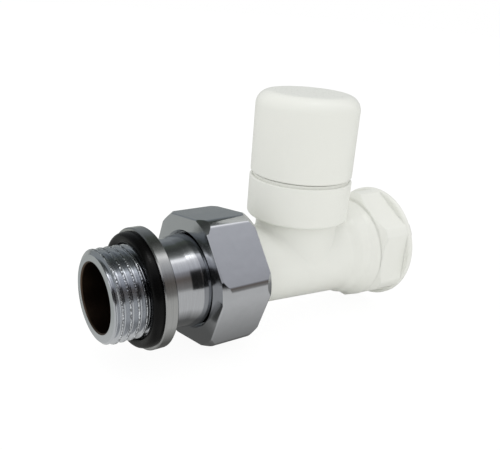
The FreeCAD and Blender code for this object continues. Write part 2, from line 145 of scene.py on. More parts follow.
# Sizes of the floor and of the studio's walls
FLOOR_SIZE = 4
FLOOR_GAP = 0.0008
WALLS_RADIUS = 0.7
WALLS_LENGTH = 3
WALLS_STEPS = 96

# Each lamp's name, place, size, property of its power, and whether it only glints
LAMPS = (
    ("key_lamp", (0.25, -0.5, 0.6), 0.5, "key_watts", False),
    ("top_lamp", (0.05, 0.1, 0.7), 0.5, "top_watts", False),
    ("fill_lamp", (-0.6, -0.4, 0.15), 0.6, "fill_watts", False),
    ("glint_lamp", (0.1, -0.12, 0.7), 0.06, "glint_watts", True))

# Floor: its paint, and how much plain white the camera adds over it and how bright
FLOOR_PAINT = "#F5F5F3"
WHITE_SHARE = 0.9
WHITE_STRENGTH = 1.04

# Floor that metal mirrors, in painted tones: a painted shadow under the valve, and painted lit floor beside
# and behind it
SHADOW_STRIP_TONE = "#666664"
SIDE_TONE = "#D5D5D3"
BACK_TONE = "#B6B9B5"

# Soft edges of the painted shadow strip under the valve, at its sides and its front, and of the floor behind
# it
SHADOW_STRIP_SIDES = (0.009, 0.021)
SHADOW_STRIP_FRONT = (0.004, -0.008)
FLOOR_BACK = (0.0, 0.02)

# Tones of the studio that the metal mirrors, by the angle about the flow axis from the front
STUDIO_STRENGTH = 1.6
STUDIO_TONES = (
    (-20, "#A7A7A6"), (-4, "#A2A2A0"), (8, "#706E6C"), (28, "#5C5652"), (42, "#7A797C"), (50, "#A2A3A7"),
    (60, "#B1B2B5"), (70, "#C6C6C8"), (75, "#FAFAFA"), (79, "#F4F4F4"), (85, "#8E908E"), (93, "#555755"),
    (110, "#363836"), (124, "#40443F"), (138, "#5E6264"), (156, "#777B7D"), (200, "#707472"))

# Tone that light from a white surface meets in the studio
SCATTERED_TONE = "#CFCFCF"

# Dark screen in the studio, and the soft edges of its angle and of its reach along the flow axis
SCREEN_TONE = "#161616"
SCREEN_ANGLES = (math.radians(48), math.radians(40))
SCREEN_REACH = (0.3, 0.2)


def linear(hex_colour):
    """Linear colour of an sRGB hex value."""
    channels = [int(hex_colour[place:place + 2], 16) / 255 for place in (1, 3, 5)]
    return tuple(c / 12.92 if c <= 0.04045 else ((c + 0.055) / 1.055) ** 2.4 for c in channels)


def cells(size_mm):
    """Texture scale at which one feature of a pattern measures size_mm."""
    return 1000.0 / size_mm


def mount_radius(name):
    """Radius of one of the record's mounts, in metres."""
    mount = next(mount for mount in frame["record"]["mounts"] if mount["name"] == name)
    return mount["dims"]["r_mm"] / 1000


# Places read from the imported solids
tail_low, tail_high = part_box("tailpiece")
nut_low, nut_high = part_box("union_nut")
body_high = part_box("valve_body")[1]
wheel_low, wheel_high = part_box("handwheel")
collar_low, collar_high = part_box("collar")
carrier_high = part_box("seal_carrier")[1]
seal_low, seal_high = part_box("radiator_o_ring")
spindle_x = (wheel_low.x + wheel_high.x) / 2


class ValveSizes(bpy.types.PropertyGroup):
    """Sizes of the modelled pieces."""

    thread_pitch: bpy.props.FloatProperty(
        name="Thread pitch", description="Length of one turn of the pipe thread, 14 to the inch",
        default=0.0254 / 14, min=0.0005, max=0.004, precision=6, unit="LENGTH")
    thread_crest: bpy.props.FloatProperty(
        name="Thread crest radius", description="Outer radius of the pipe thread",
        default=mount_radius("radiator_thread"), min=0.005, max=0.02, precision=6, unit="LENGTH")
    thread_root: bpy.props.FloatProperty(
        name="Thread root radius", description="Inner radius of the pipe thread",
        default=mount_radius("pipe_inlet"), min=0.005, max=0.02, precision=6, unit="LENGTH")
    thread_flank: bpy.props.FloatProperty(
        name="Thread flank angle", description="Lean of each flank from square to the axis",
        default=math.radians(27.5), min=0.2, max=0.8, subtype="ANGLE")
    thread_chamfer: bpy.props.FloatProperty(
        name="Thread chamfer", description="Chamfer at the start of the tailpiece's thread",
        default=0.00075, min=0, max=0.002, precision=6, unit="LENGTH")
    thread_relief: bpy.props.FloatProperty(
        name="Relief radius", description="Radius of the plain seat behind the tailpiece's thread",
        default=0.010228, min=0.005, max=0.02, precision=6, unit="LENGTH")
    thread_run_on: bpy.props.FloatProperty(
        name="Thread run-on", description="How far the thread's groove runs on under the seal",
        default=0.0013, min=0, max=0.003, precision=6, unit="LENGTH")
    tail_bore: bpy.props.FloatProperty(
        name="Tail bore radius", description="Radius of the bore at the tailpiece's mouth",
        default=0.00772, min=0.004, max=0.009, precision=6, unit="LENGTH")
    bore_bevel: bpy.props.FloatProperty(
        name="Bore bevel", description="Broken edge at the mouth of the bore",
        default=0.0003, min=0, max=0.001, precision=6, unit="LENGTH")
    neck_waist: bpy.props.FloatProperty(
        name="Neck waist", description="How much slimmer the neck is before it flares into the nut",
        default=0.0005, min=0, max=0.001, precision=6, unit="LENGTH")
    neck_flare: bpy.props.FloatProperty(
        name="Neck flare", description="Length of the polished flare in front of the nut",
        default=0.0041, min=0.0005, max=0.006, precision=6, unit="LENGTH")
    seal_reach: bpy.props.FloatProperty(
        name="Seal reach", description="How far the radiator's seal bulges forward over the thread",
        default=0.0016, min=0, max=0.003, precision=6, unit="LENGTH")
    rim_inset: bpy.props.FloatProperty(
        name="Rim inset", description="Depth of the groove between the handwheel and the collar",
        default=0.0008, min=0.0001, max=0.002, precision=6, unit="LENGTH")
    rim_width: bpy.props.FloatProperty(
        name="Rim width", description="Width of the rim under the handwheel's edge",
        default=0.0012, min=0.0004, max=0.003, precision=6, unit="LENGTH")
    rim_play: bpy.props.FloatProperty(
        name="Rim play", description="Room between the rim and the turning handwheel",
        default=0.00025, min=0.00005, max=0.0005, precision=6, unit="LENGTH")
    nut_across_flats: bpy.props.FloatProperty(
        name="Nut across flats", description="Width of the union nut's hexagon",
        default=0.0296, min=0.02, max=0.04, precision=6, unit="LENGTH")
    nut_turn: bpy.props.FloatProperty(
        name="Nut turn", description="How far the front flat is turned up from level",
        default=math.radians(39), subtype="ANGLE")
    nut_ridge_round: bpy.props.FloatProperty(
        name="Nut ridge rounding", description="Radius that buffing leaves along the hexagon's ridges",
        default=0.0032, min=0.0002, max=0.006, precision=6, unit="LENGTH")
    nut_corner_cut: bpy.props.FloatProperty(
        name="Nut corner cut", description="Radial depth of the turned cone at the corners",
        default=0.00155, min=0.0001, max=0.003, precision=6, unit="LENGTH")
    nut_corner_lean: bpy.props.FloatProperty(
        name="Nut corner lean", description="Lean of the turned cone from the nut's end face",
        default=math.radians(60), min=0.2, max=1.4, subtype="ANGLE")
    nut_edge_break: bpy.props.FloatProperty(
        name="Nut edge break", description="Width of the small round along the nut's end edges",
        default=0.00042, min=0.00005, max=0.001, precision=6, unit="LENGTH")
    nut_hole: bpy.props.FloatProperty(
        name="Nut hole radius", description="Radius of the hole round the tailpiece's neck",
        default=0.011148, min=0.005, max=0.02, precision=6, unit="LENGTH")
    nut_thread: bpy.props.FloatProperty(
        name="Nut thread radius", description="Radius of the threaded bore at the back of the nut",
        default=0.012818, min=0.005, max=0.02, precision=6, unit="LENGTH")
    nut_lip: bpy.props.FloatProperty(
        name="Nut lip", description="Thickness of the lip that pulls the tailpiece in",
        default=0.0026, min=0.0005, max=0.006, precision=6, unit="LENGTH")
    hexagon_reach: bpy.props.FloatProperty(
        name="Hexagon reach", description="Distance of the inlet hexagon's front from the rim's face",
        default=0.0103, min=0.005, max=0.02, precision=6, unit="LENGTH")
    hexagon_flat: bpy.props.FloatProperty(
        name="Hexagon flat", description="Radius at which the barrel meets the hexagon's flats",
        default=0.013476, min=0.008, max=0.02, precision=6, unit="LENGTH")
    shoulder_length: bpy.props.FloatProperty(
        name="Shoulder length", description="Length over which the barrel swells up to the flats",
        default=0.0048, min=0.001, max=0.005, precision=6, unit="LENGTH")
    shoulder_rise: bpy.props.FloatProperty(
        name="Shoulder rise", description="How far the barrel swells up to the flats",
        default=0.00165, min=0.0002, max=0.002, precision=6, unit="LENGTH")
    shoulder_drop: bpy.props.FloatProperty(
        name="Shoulder drop", description="How far the swelling lies below the flow axis",
        default=0.0004, min=0, max=0.001, precision=6, unit="LENGTH")
    corner_slope: bpy.props.FloatProperty(
        name="Corner slope", description="Length over which the hexagon's corners rise from the barrel",
        default=0.0012, min=0.0005, max=0.006, precision=6, unit="LENGTH")


class ValveColours(bpy.types.PropertyGroup):
    """Colours of the finishes."""

    lacquer: bpy.props.FloatVectorProperty(
        name="Lacquer", description="White lacquer of the forged body",
        default=linear("#E5E6E0"), min=0, max=1, subtype="COLOR")
    moulding: bpy.props.FloatVectorProperty(
        name="Moulding", description="White moulding of the handwheel and collar",
        default=linear("#E5E6E0"), min=0, max=1, subtype="COLOR")
    chrome: bpy.props.FloatVectorProperty(
        name="Chrome", description="Chrome plate of the nut and the tailpiece",
        default=linear("#C3C5C9"), min=0, max=1, subtype="COLOR")
    nickel: bpy.props.FloatVectorProperty(
        name="Nickel", description="Nickel plate of the seal's carrier ring",
        default=linear("#B3B4B4"), min=0, max=1, subtype="COLOR")
    thread: bpy.props.FloatVectorProperty(
        name="Thread", description="Plated pipe thread",
        default=linear("#CCCFD4"), min=0, max=1, subtype="COLOR")
    # Bare brass in the bore: partly its own tarnish, partly painted shade of the deep bore
    bore: bpy.props.FloatVectorProperty(
        name="Bore", description="Darkened metal inside the tailpiece",
        default=linear("#5E4E42"), min=0, max=1, subtype="COLOR")
    rubber: bpy.props.FloatVectorProperty(
        name="Rubber", description="Black rubber of the seals",
        default=linear("#070707"), min=0, max=1, subtype="COLOR")
    brass: bpy.props.FloatVectorProperty(
        name="Brass", description="Bare turned brass of the headwork",
        default=linear("#D8B66A"), min=0, max=1, subtype="COLOR")
    steel: bpy.props.FloatVectorProperty(
        name="Steel", description="Spring steel of the clips",
        default=linear("#A9A9AB"), min=0, max=1, subtype="COLOR")
    washer: bpy.props.FloatVectorProperty(
        name="Washer", description="Slippery white plastic of the thrust washer",
        default=linear("#E9E9E5"), min=0, max=1, subtype="COLOR")


class ValveStage(bpy.types.PropertyGroup):
    """Camera and light."""

    azimuth: bpy.props.FloatProperty(
        name="Azimuth", description="Camera's turn round the valve from the front",
        default=math.radians(-37.863), subtype="ANGLE")
    elevation: bpy.props.FloatProperty(
        name="Elevation", description="Camera's height above the horizon",
        default=math.radians(22.535), subtype="ANGLE")
    roll: bpy.props.FloatProperty(
        name="Roll", description="Camera's turn about its own line of sight",
        default=math.radians(4.783), subtype="ANGLE")
    distance: bpy.props.FloatProperty(
        name="Distance", description="Camera's distance from its target",
        default=0.16026, min=0.05, max=1, unit="LENGTH")
    target: bpy.props.FloatVectorProperty(
        name="Target", description="Point that the camera circles",
        default=(spindle_x - 0.011508, 0, 0.000741), precision=6, subtype="TRANSLATION", unit="LENGTH")
    focal_pixels: bpy.props.FloatProperty(
        name="Focal length", description="Focal length in pixels of the image",
        default=644.404, min=100, max=3000)
    centre_pixels: bpy.props.FloatVectorProperty(
        name="Image centre", description="Pixel at which the line of sight meets the image",
        default=(256.411, 261.436), size=2)
    ambient: bpy.props.FloatProperty(
        name="Ambient", description="Strength of the even light from all round",
        default=0.97, min=0, max=2)
    key_watts: bpy.props.FloatProperty(
        name="Key lamp", description="Power of the large soft lamp above the front",
        default=0.1, min=0, max=50)
    top_watts: bpy.props.FloatProperty(
        name="Top lamp", description="Power of the large soft lamp overhead",
        default=0.75, min=0, max=50)
    fill_watts: bpy.props.FloatProperty(
        name="Fill lamp", description="Power of the large soft lamp on the left",
        default=0.3, min=0, max=50)
    glint_watts: bpy.props.FloatProperty(
        name="Glint lamp", description="Power of the small lamp that sparkles in the metal",
        default=0.4, min=0, max=50)


def add_node(tree, kind, inputs=None, **settings):
    """Add a node with its settings. An input that is a socket is linked, and any other is set."""
    node = tree.nodes.new(kind)
    for name, value in settings.items():
        setattr(node, name, value)
    for name, value in (inputs or {}).items():
        if isinstance(value, bpy.types.NodeSocket):
            tree.links.new(value, node.inputs[name])
        else:
            node.inputs[name].default_value = value
    return node


def new_material(name):
    """Empty node material with its output."""
    material = bpy.data.materials.new(name)
    material.use_nodes = True
    tree = material.node_tree
    tree.nodes.clear()
    return material, tree, add_node(tree, "ShaderNodeOutputMaterial")


def opaque(colour):
    """Colour with full alpha, for a socket."""
    return (*colour, 1.0)


def shaded(colour, factor):
    """Colour made lighter or darker by a factor, for a socket."""
    return opaque([min(1.0, channel * factor) for channel in colour])


def white_lacquer(colours):
    """Lacquer sprayed on forged brass."""
    # It is even and semi-gloss, rounds off edges, and has a faint orange peel that softens reflections.
    material, tree, output = new_material("white_lacquer_on_forged_brass")
    place = add_node(tree, "ShaderNodeTexCoord").outputs["Object"]
    cloud = add_node(tree, "ShaderNodeTexNoise", {"Vector": place, "Scale": cells(9), "Detail": 2.0})
    tone = add_node(tree, "ShaderNodeMix", {
        "Factor": cloud.outputs["Fac"], "A": shaded(colours.lacquer, 0.985),
        "B": shaded(colours.lacquer, 1.015)}, data_type="RGBA")
    peel = add_node(tree, "ShaderNodeTexNoise", {"Vector": place, "Scale": cells(0.9), "Detail": 3.0})
    sheen = add_node(tree, "ShaderNodeMapRange", {
        "Value": peel.outputs["Fac"], "To Min": 0.27, "To Max": 0.37})
    edge = add_node(tree, "ShaderNodeBevel", {"Radius": 0.0008}, samples=8)
    bump = add_node(tree, "ShaderNodeBump", {
        "Height": peel.outputs["Fac"], "Strength": 0.35, "Distance": 0.00002,
        "Normal": edge.outputs["Normal"]})
    shader = add_node(tree, "ShaderNodeBsdfPrincipled", {
        "Base Color": tone.outputs["Result"], "Roughness": sheen.outputs["Result"], "IOR": 1.5,
        "Specular IOR Level": 0.35, "Normal": bump.outputs["Normal"]})
    tree.links.new(shader.outputs["BSDF"], output.inputs["Surface"])
    return material


def moulded_abs(colours):
    """White ABS from a polished mould."""
    # It is smooth and milky, with soft highlights and a very fine grain from the mould.
    material, tree, output = new_material("moulded_white_abs")
    place = add_node(tree, "ShaderNodeTexCoord").outputs["Object"]
    cloud = add_node(tree, "ShaderNodeTexNoise", {"Vector": place, "Scale": cells(14), "Detail": 2.0})
    tone = add_node(tree, "ShaderNodeMix", {
        "Factor": cloud.outputs["Fac"], "A": shaded(colours.moulding, 0.988),
        "B": shaded(colours.moulding, 1.012)}, data_type="RGBA")
    grain = add_node(tree, "ShaderNodeTexNoise", {"Vector": place, "Scale": cells(0.35), "Detail": 2.0})
    sheen = add_node(tree, "ShaderNodeMapRange", {
        "Value": grain.outputs["Fac"], "To Min": 0.24, "To Max": 0.34})
    bump = add_node(tree, "ShaderNodeBump", {
        "Height": grain.outputs["Fac"], "Strength": 0.25, "Distance": 0.00001})
    shader = add_node(tree, "ShaderNodeBsdfPrincipled", {
        "Base Color": tone.outputs["Result"], "Roughness": sheen.outputs["Result"], "IOR": 1.53,
        "Specular IOR Level": 0.15, "Normal": bump.outputs["Normal"]})
    tree.links.new(shader.outputs["BSDF"], output.inputs["Surface"])
    return material


def polished_chrome(colours):
    """Chrome plate on a buffed nut."""
    # It mirrors the room, slightly blurred and wavy where the flats were buffed.
    material, tree, output = new_material("buffed_chrome_plate")
    place = add_node(tree, "ShaderNodeTexCoord").outputs["Object"]
    wave = add_node(tree, "ShaderNodeTexNoise", {"Vector": place, "Scale": cells(5), "Detail": 2.0})
    haze = add_node(tree, "ShaderNodeTexNoise", {"Vector": place, "Scale": cells(2.2), "Detail": 4.0})
    blur = add_node(tree, "ShaderNodeMapRange", {
        "Value": haze.outputs["Fac"], "To Min": 0.11, "To Max": 0.19})
    tone = add_node(tree, "ShaderNodeMix", {
        "Factor": haze.outputs["Fac"], "A": shaded(colours.chrome, 0.94),
        "B": shaded(colours.chrome, 1.04)}, data_type="RGBA")
    bump = add_node(tree, "ShaderNodeBump", {
        "Height": wave.outputs["Fac"], "Strength": 0.5, "Distance": 0.00006})
    shader = add_node(tree, "ShaderNodeBsdfPrincipled", {
        "Base Color": tone.outputs["Result"], "Metallic": 1.0, "Roughness": blur.outputs["Result"],
        "Normal": bump.outputs["Normal"]})
    tree.links.new(shader.outputs["BSDF"], output.inputs["Surface"])
    return material


def turned_metal(name, colour, roughness, line_mm, line_depth, axis=FLOW):
    """Metal turned about an axis, bare or plated."""
    # Fine rings run round it, drawn wider than the tool's marks so that they show.
    material, tree, output = new_material(name)
    place = add_node(tree, "ShaderNodeTexCoord").outputs["Object"]
    along = add_node(tree, "ShaderNodeMapping", {
        "Vector": place, "Scale": [max(RING_STRETCH, part) for part in axis]})
    ring = add_node(tree, "ShaderNodeTexNoise", {
        "Vector": along.outputs["Vector"], "Scale": cells(line_mm), "Detail": 3.0})
    speck = add_node(tree, "ShaderNodeTexNoise", {"Vector": place, "Scale": cells(1.1), "Detail": 4.0})
    tone = add_node(tree, "ShaderNodeMix", {
        "Factor": ring.outputs["Fac"], "A": shaded(colour, 0.82), "B": shaded(colour, 1.12)},
        data_type="RGBA")
    blur = add_node(tree, "ShaderNodeMapRange", {
        "Value": speck.outputs["Fac"], "To Min": roughness * 0.8, "To Max": roughness * 1.25})
    bump = add_node(tree, "ShaderNodeBump", {
        "Height": ring.outputs["Fac"], "Strength": 0.5, "Distance": line_depth})
    shader = add_node(tree, "ShaderNodeBsdfPrincipled", {
        "Base Color": tone.outputs["Result"], "Metallic": 1.0, "Roughness": blur.outputs["Result"],
        "Normal": bump.outputs["Normal"]})
    tree.links.new(shader.outputs["BSDF"], output.inputs["Surface"])
    return material


def cut_thread_metal(colours, sizes):
    """Plated thread as it leaves the die."""
    # The flanks are smooth and bluish grey, and the torn crests sparkle with light and dark nicks.
    material, tree, output = new_material("plated_cut_thread")
    place = add_node(tree, "ShaderNodeTexCoord").outputs["Object"]
    across = add_node(tree, "ShaderNodeVectorMath", {0: place, 1: (0, 1, 1)}, operation="MULTIPLY")
    radius = add_node(tree, "ShaderNodeVectorMath", {0: across.outputs["Vector"]}, operation="LENGTH")
    crest = add_node(tree, "ShaderNodeMapRange", {
        "Value": radius.outputs["Value"], "From Min": sizes.thread_crest - TORN_DEPTHS[0],
        "From Max": sizes.thread_crest - TORN_DEPTHS[1]})
    nick = add_node(tree, "ShaderNodeTexNoise", {"Vector": place, "Scale": cells(0.45), "Detail": 2.0})
    torn = add_node(tree, "ShaderNodeMath", {
        0: nick.outputs["Fac"], 1: crest.outputs["Result"]}, operation="MULTIPLY")
    light = add_node(tree, "ShaderNodeMapRange", {
        "Value": nick.outputs["Fac"], "From Min": 0.35, "From Max": 0.65, "To Min": 0.3, "To Max": 1.5})
    level = add_node(tree, "ShaderNodeMix", {
        "Factor": crest.outputs["Result"], "A": 1.0, "B": light.outputs["Result"]}, data_type="FLOAT")
    tone = add_node(tree, "ShaderNodeVectorMath", {
        0: colours.thread, "Scale": level.outputs["Result"]}, operation="SCALE")
    pit = add_node(tree, "ShaderNodeTexNoise", {"Vector": place, "Scale": cells(0.8), "Detail": 3.0})
    blur = add_node(tree, "ShaderNodeMapRange", {
        "Value": pit.outputs["Fac"], "To Min": 0.1, "To Max": 0.24})
    bump = add_node(tree, "ShaderNodeBump", {
        "Height": torn.outputs["Value"], "Strength": 0.8, "Distance": 0.00012})
    shader = add_node(tree, "ShaderNodeBsdfPrincipled", {
        "Base Color": tone.outputs["Vector"], "Metallic": 1.0, "Roughness": blur.outputs["Result"],
        "Normal": bump.outputs["Normal"]})
    tree.links.new(shader.outputs["BSDF"], output.inputs["Surface"])
    return material


def moulded_rubber(colours):
    """Black EPDM rubber from a mould."""
    # It is nearly black, with a dull sheen along the crown of each ring.
    material, tree, output = new_material("moulded_black_epdm")
    place = add_node(tree, "ShaderNodeTexCoord").outputs["Object"]
    dust = add_node(tree, "ShaderNodeTexNoise", {"Vector": place, "Scale": cells(0.4), "Detail": 4.0})
    tone = add_node(tree, "ShaderNodeMix", {
        "Factor": dust.outputs["Fac"], "A": shaded(colours.rubber, 0.75), "B": shaded(colours.rubber, 1.3)},
        data_type="RGBA")
    sheen = add_node(tree, "ShaderNodeMapRange", {
        "Value": dust.outputs["Fac"], "To Min": 0.2, "To Max": 0.32})
    bump = add_node(tree, "ShaderNodeBump", {
        "Height": dust.outputs["Fac"], "Strength": 0.3, "Distance": 0.00001})
    shader = add_node(tree, "ShaderNodeBsdfPrincipled", {
        "Base Color": tone.outputs["Result"], "Roughness": sheen.outputs["Result"], "IOR": 1.52,
        "Specular IOR Level": 0.12, "Normal": bump.outputs["Normal"]})
    tree.links.new(shader.outputs["BSDF"], output.inputs["Surface"])
    return material


def slippery_ptfe(colours):
    """PTFE skived from a rod."""
    # It is waxy white with a soft, dull surface.
    material, tree, output = new_material("skived_white_ptfe")
    place = add_node(tree, "ShaderNodeTexCoord").outputs["Object"]
    wax = add_node(tree, "ShaderNodeTexNoise", {"Vector": place, "Scale": cells(0.8), "Detail": 2.0})
    tone = add_node(tree, "ShaderNodeMix", {
        "Factor": wax.outputs["Fac"], "A": shaded(colours.washer, 0.95), "B": shaded(colours.washer, 1.03)},
        data_type="RGBA")
    sheen = add_node(tree, "ShaderNodeMapRange", {
        "Value": wax.outputs["Fac"], "To Min": 0.45, "To Max": 0.6})
    shader = add_node(tree, "ShaderNodeBsdfPrincipled", {
        "Base Color": tone.outputs["Result"], "Roughness": sheen.outputs["Result"], "IOR": 1.35})
    tree.links.new(shader.outputs["BSDF"], output.inputs["Surface"])
    return material


def select_only(obj):
    """Make one object the whole selection."""
    bpy.ops.object.select_all(action="DESELECT")
    obj.select_set(True)
    bpy.context.view_layer.objects.active = obj


def drawn_wire(name, points, closed):
    """New object: a wire drawn from point to point."""
    bpy.ops.object.select_all(action="DESELECT")
    bpy.ops.mesh.primitive_plane_add(size=0.001)
    obj = bpy.context.active_object
    obj.name = name
    bpy.ops.object.mode_set(mode="EDIT")
    bpy.ops.mesh.select_mode(type="VERT")
    bpy.ops.mesh.merge(type="CENTER")
    bpy.ops.transform.translate(value=points[0])
    stops = points[1:] + points[:1] if closed else points[1:]
    for here, there in zip(points, stops):
        bpy.ops.mesh.extrude_vertices_move(TRANSFORM_OT_translate={"value": there - here})
    bpy.ops.mesh.select_all(action="SELECT")
    bpy.ops.mesh.remove_doubles(threshold=MERGE_DISTANCE)
    bpy.ops.object.mode_set(mode="OBJECT")
    return obj


def close_up(obj):
    """Merge doubles, fill open ends and turn the faces outwards."""
    select_only(obj)
    bpy.ops.object.mode_set(mode="EDIT")
    bpy.ops.mesh.select_all(action="SELECT")
    bpy.ops.mesh.remove_doubles(threshold=MERGE_DISTANCE)
    bpy.ops.mesh.fill_holes(sides=0)
    bpy.ops.mesh.select_all(action="SELECT")
    bpy.ops.mesh.normals_make_consistent(inside=False)
    bpy.ops.object.mode_set(mode="OBJECT")


def turned(name, outline, steps, axis=FLOW, side=UP, centre=ORIGIN):
    """New object: a solid turned about an axis from corners (place along it, radius)."""
    hollow = min(radius for along, radius in outline) > 0
    points = [centre + axis * along + side * radius for along, radius in outline]
    obj = drawn_wire(name, points, hollow)
    select_only(obj)
    bpy.ops.object.mode_set(mode="EDIT")
    bpy.ops.mesh.select_all(action="SELECT")
    bpy.ops.mesh.spin(steps=steps, angle=2 * math.pi, center=centre, axis=axis)
    bpy.ops.object.mode_set(mode="OBJECT")
    close_up(obj)
    return obj


def apply_boolean(obj, tool, operation):
    """Cut, trim or build up a piece with a tool, which is then removed."""
    if not tool.data.polygons:
        raise RuntimeError(tool.name + " has no faces to cut with")
    select_only(obj)
    bpy.ops.object.modifier_add(type="BOOLEAN")
    modifier = obj.modifiers[-1]
    modifier.operation = operation
    modifier.solver = "MANIFOLD"
    modifier.object = tool
    bpy.ops.object.modifier_apply(modifier=modifier.name)
    bpy.data.objects.remove(tool)
    if not obj.data.polygons:
        raise RuntimeError(obj.name + " was left empty by its cut")


def clean_cuts(obj):
    """Dissolve the slivers that cuts leave along their edges."""
    select_only(obj)
    bpy.ops.object.mode_set(mode="EDIT")
    bpy.ops.mesh.select_all(action="SELECT")
    bpy.ops.mesh.remove_doubles(threshold=SLIVER)
    bpy.ops.mesh.dissolve_degenerate(threshold=SLIVER)
    bpy.ops.object.mode_set(mode="OBJECT")


def smooth(obj, angle):
    """Smooth shading that keeps edges sharper than an angle."""
    select_only(obj)
    bpy.ops.object.shade_smooth_by_angle(angle=angle)


def bevel_edges(obj, width, segments, chosen):
    """Round the edges whose two ends pass a test."""
    select_only(obj)
    bpy.ops.object.mode_set(mode="EDIT")
    bpy.ops.mesh.select_mode(type="EDGE")
    bpy.ops.mesh.select_all(action="DESELECT")
    bpy.ops.object.mode_set(mode="OBJECT")
    corners = obj.data.vertices
    for edge in obj.data.edges:
        edge.select = chosen(corners[edge.vertices[0]].co, corners[edge.vertices[1]].co)
    bpy.ops.object.mode_set(mode="EDIT")
    bpy.ops.mesh.bevel(offset=width, offset_type="OFFSET", segments=segments)
    bpy.ops.object.mode_set(mode="OBJECT")


def copied_node(node, name):
    """New object: a merged copy of a solid's mesh, riding on nothing yet."""
    select_only(frame["nodes"][node])
    bpy.ops.object.duplicate()
    obj = bpy.context.active_object
    obj.name = name
    bpy.ops.object.parent_clear(type="CLEAR_KEEP_TRANSFORM")
    for key in list(obj.keys()):
        del obj[key]
    bpy.ops.mesh.customdata_custom_splitnormals_clear()
    close_up(obj)
    obj.data.materials.clear()
    return obj


def dress(obj, *materials):
    """Give a piece its finishes, the first on every face."""
    obj.data.materials.clear()
    for material in materials:
        obj.data.materials.append(material)
    for face in obj.data.polygons:
        face.material_index = 0


def finish_nodes(names, material):
    """Give solids that keep their own mesh a finish."""
    for name in names:
        mesh = frame["nodes"][name].data
        mesh.materials.clear()
        mesh.materials.append(material)


def radial(face):
    """Radius of a face about the flow axis, and how much it points away from the axis."""
    radius = math.hypot(face.center.y, face.center.z)
    outward = face.normal.y * face.center.y + face.normal.z * face.center.z
    return radius, outward / max(radius, MERGE_DISTANCE)


def thread_tool(name, sizes, start_x, turns, inside):
    """New object: the helical groove of the pipe thread, cut into a bar or a bore."""
    rounding = sizes.thread_pitch * THREAD_ROUNDING
    sweep = math.pi / 2 - sizes.thread_flank
    bottom = sizes.thread_crest if inside else sizes.thread_root
    top = sizes.thread_root if inside else sizes.thread_crest
    way = -1 if inside else 1
    side = []
    for share in BOTTOM_SHARES:
        angle = sweep * share
        side.append((rounding * math.sin(angle), bottom + way * rounding * (1 - math.cos(angle))))
    for share in TOP_SHARES:
        angle = sweep * share
        side.append((sizes.thread_pitch / 2 - rounding * math.sin(angle),
                     top - way * rounding * (1 - math.cos(angle))))
    side.append((side[-1][0], top + way * rounding * 2))
    mirrored = [(-x, radius) for x, radius in reversed(side[1:])]
    points = [Vector((start_x + x, 0, radius)) for x, radius in mirrored + side]
    obj = drawn_wire(name, points, True)
    select_only(obj)
    bpy.ops.object.modifier_add(type="SCREW")
    modifier = obj.modifiers[-1]
    modifier.axis = "X"
    modifier.screw_offset = sizes.thread_pitch
    modifier.iterations = turns
    modifier.steps = THREAD_STEPS
    modifier.render_steps = THREAD_STEPS
    bpy.ops.object.modifier_apply(modifier=modifier.name)
    close_up(obj)
    return obj


class VALVE_OT_threaded_tail(bpy.types.Operator):
    """Cut the pipe thread on the tailpiece, shape its neck and plate it"""

    bl_idname = "valve.threaded_tail"
    bl_label = "Threaded tailpiece"

    def execute(self, context):
        sizes = context.scene.valve_sizes
        colours = context.scene.valve_colours
        front = tail_low.x
        tail_neck = sizes.nut_hole - NUT_PLAY
        chamfer = sizes.thread_chamfer
        bevel = sizes.bore_bevel
        run_on = sizes.thread_run_on
        turns = math.ceil((run_on - front) / sizes.thread_pitch) + 1
        end = turned("threaded_end", [
            (front, sizes.tail_bore + bevel), (front, sizes.thread_crest - chamfer),
            (front + chamfer, sizes.thread_crest), (0, sizes.thread_crest), (0, sizes.thread_relief),
            (run_on, sizes.thread_relief), (run_on, sizes.tail_bore), (front + bevel, sizes.tail_bore)],
            TURNED_STEPS)
        start_x = run_on - sizes.thread_pitch / 2 - turns * sizes.thread_pitch
        apply_boolean(end, thread_tool("tail_die", sizes, start_x, turns, False), "DIFFERENCE")
        tail = copied_node("tailpiece", "threaded_tailpiece")
        apply_boolean(tail, turned("rear_part", [
            (run_on, 0), (run_on, tail_high.z * 2), (tail_high.x * 2, tail_high.z * 2),
            (tail_high.x * 2, 0)], TRIM_STEPS), "INTERSECT")
        waist = tail_neck - sizes.neck_waist
        flare = nut_low.x - sizes.neck_flare
        slope = FLARE_SHARE * sizes.neck_flare
        knee = KNEE_SHARE * slope
        lift = KNEE_SHARE * sizes.neck_waist
        apply_boolean(tail, turned("neck_tool", [
            (carrier_high.x, nut_high.z), (carrier_high.x, waist), (flare - knee, waist),
            (flare + knee, waist + lift), (flare + slope - knee, tail_neck - lift),
            (flare + slope + knee, tail_neck - MERGE_DISTANCE), (nut_low.x, tail_neck - MERGE_DISTANCE),
            (nut_low.x, nut_high.z)], TURNED_STEPS), "DIFFERENCE")
        apply_boolean(tail, end, "UNION")
        clean_cuts(tail)
        smooth(tail, TAIL_CREASE)
        plate = turned_metal(
            "turned_chrome_plate", colours.chrome, roughness=0.14, line_mm=0.3, line_depth=0.000003)
        # Tarnished bare brass, painted darker to stand in for the shade deep inside the bore
        bore_in_shade = turned_metal(
            "bored_dark_brass", colours.bore, roughness=0.4, line_mm=0.5, line_depth=0.00003)
        dress(tail, plate, cut_thread_metal(colours, sizes), bore_in_shade)
        for face in tail.data.polygons:
            radius, outward = radial(face)
            if outward < BORE_OUTWARD and radius < sizes.thread_root * BORE_SHARE:
                face.material_index = 2
            elif face.center.x < run_on:
                face.material_index = 1
        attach(tail, "fixed_body")
        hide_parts("tailpiece")
        return {"FINISHED"}


